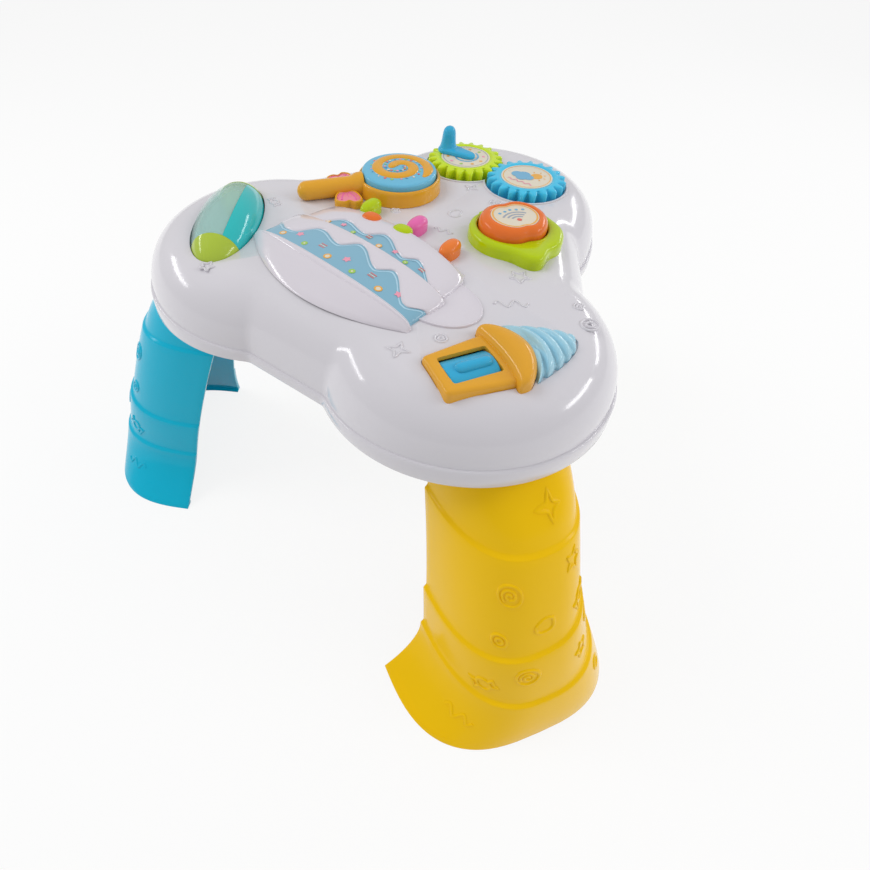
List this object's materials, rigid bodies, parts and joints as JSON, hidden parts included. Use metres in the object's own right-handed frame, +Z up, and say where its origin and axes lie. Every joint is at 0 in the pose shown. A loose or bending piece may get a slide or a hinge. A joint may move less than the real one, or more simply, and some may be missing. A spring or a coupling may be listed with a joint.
{
  "type": "musical activity table",
  "caption": "Toddler's activity table: lobed top on splayed channel legs, with meshed gears and crank, spinning lollipop, roller drum, rocker and press buttons.",
  "frame": {"origin": "on the floor at the centre of the feet's outline box", "axes": "+Z up, +Y towards the gears and the lime leg, +X towards the ice cream and the yellow leg"},
  "size_m": [0.5888, 0.534, 0.32],
  "materials": {
    "white_shell": "glossy moulded plastic",
    "turquoise": "glossy moulded plastic",
    "yellow": "glossy moulded plastic",
    "lime_yellow": "glossy moulded plastic",
    "lime": "glossy moulded plastic",
    "blue": "glossy moulded plastic",
    "orange": "glossy moulded plastic",
    "red_orange": "glossy moulded plastic",
    "pink": "glossy moulded plastic",
    "label": "printed label",
    "teal": "translucent moulded plastic",
    "clear": "clear moulded plastic",
    "cake": "glossy moulded plastic",
    "underside": "satin moulded plastic",
    "silicone": "matt silicone",
    "steel": "zinc plated",
    "board": "laminate",
    "dark": "satin",
    "cells": "printed sleeve"
  },
  "bodies": {
    "table": {"top_shell": "white_shell", "base_tray": "underside", "turquoise_leg": "turquoise", "yellow_leg": "yellow", "lime_leg": "lime_yellow", "lollipop_base": "orange", "bow_wings": "pink", "apple_base": "lime", "apple_spring": "steel", "cake_body": "cake", "green_candle_pad": "silicone", "pink_candle_pad": "silicone", "orange_candle_pad": "silicone", "red_fruit_pad": "silicone", "green_fruit_pad": "silicone", "ice_cream_frame": "orange", "ice_cream_swirl": "blue", "rocker_pin": "steel", "roller_cradle": "white_shell", "roller_axle": "steel", "circuit_board": "board", "board_screws": "steel", "speaker": "dark", "battery_box": "underside", "battery_door": "underside", "aa_batteries": "cells", "battery_contacts": "steel", "tray_screws": "steel"},
    "lime_gear": {"lime_gear": "lime", "lime_gear_label": "label", "lime_gear_screw": "steel", "crank_handle": "blue"},
    "blue_gear": {"blue_gear": "blue", "blue_gear_label": "label", "blue_gear_screw": "steel"},
    "lollipop_disc": {"lollipop_disc": "blue", "lollipop_screw": "steel"},
    "roller": {"roller_caps": "lime", "roller_teal_shell": "teal", "roller_clear_shell": "clear", "roller_beads": "orange"},
    "apple_button": {"apple_button": "red_orange", "apple_label": "label", "apple_screw": "steel"},
    "green_candle_button": {"green_candle_button": "lime"},
    "pink_candle_button": {"pink_candle_button": "pink"},
    "orange_candle_button": {"orange_candle_button": "orange"},
    "red_fruit_button": {"red_fruit_button": "red_orange"},
    "green_fruit_button": {"green_fruit_button": "lime"},
    "rocker": {"ice_cream_rocker": "blue"},
    "power_switch": {"power_switch": "red_orange"}
  },
  "joints": [
    {"name": "lime_gear_spin", "type": "hinge", "parent": "table", "child": "lime_gear", "pos_m": [-0.032, 0.08547, 0.29], "axis": [0, 0, 1], "continuous": true},
    {"name": "blue_gear_spin", "type": "hinge", "parent": "table", "child": "blue_gear", "pos_m": [0.032, 0.08547, 0.29], "axis": [0, 0, 1], "continuous": true},
    {"name": "lollipop_spin", "type": "hinge", "parent": "table", "child": "lollipop_disc", "pos_m": [-0.052, 0.00847, 0.295], "axis": [0, 0, 1], "continuous": true},
    {"name": "roller_spin", "type": "hinge", "parent": "table", "child": "roller", "pos_m": [-0.12654, -0.12504, 0.2835], "axis": [-0.5446, 0.8387, 0], "continuous": true},
    {"name": "apple_press", "type": "slide", "parent": "table", "child": "apple_button", "axis": [0, 0, -1], "range_m": [0, 0.003], "stiffness_N_per_m": 600, "springref_m": -0.002, "deforming": ["apple_spring"]},
    {"name": "green_candle_press", "type": "slide", "parent": "table", "child": "green_candle_button", "axis": [0, 0, -1], "range_m": [0, 0.0025], "stiffness_N_per_m": 500, "springref_m": -0.001, "deforming": ["green_candle_pad"]},
    {"name": "pink_candle_press", "type": "slide", "parent": "table", "child": "pink_candle_button", "axis": [0, 0, -1], "range_m": [0, 0.0025], "stiffness_N_per_m": 500, "springref_m": -0.001, "deforming": ["pink_candle_pad"]},
    {"name": "orange_candle_press", "type": "slide", "parent": "table", "child": "orange_candle_button", "axis": [0, 0, -1], "range_m": [0, 0.0025], "stiffness_N_per_m": 500, "springref_m": -0.001, "deforming": ["orange_candle_pad"]},
    {"name": "red_fruit_press", "type": "slide", "parent": "table", "child": "red_fruit_button", "axis": [0, 0, -1], "range_m": [0, 0.0025], "stiffness_N_per_m": 500, "springref_m": -0.001, "deforming": ["red_fruit_pad"]},
    {"name": "green_fruit_press", "type": "slide", "parent": "table", "child": "green_fruit_button", "axis": [0, 0, -1], "range_m": [0, 0.0025], "stiffness_N_per_m": 500, "springref_m": -0.001, "deforming": ["green_fruit_pad"]},
    {"name": "rocker_tilt", "type": "hinge", "parent": "table", "child": "rocker", "pos_m": [0.1258, -0.15464, 0.2753], "axis": [0.5, 0.866, 0], "range_deg": [-20, 20], "stiffness_Nm_per_rad": 0.05},
    {"name": "power_slide", "type": "slide", "parent": "table", "child": "power_switch", "axis": [1, 0, 0], "range_m": [0, 0.006]}
  ],
  "couplings": [
    {"joint": "blue_gear_spin", "follows": "lime_gear_spin", "ratio": -1}
  ]
}
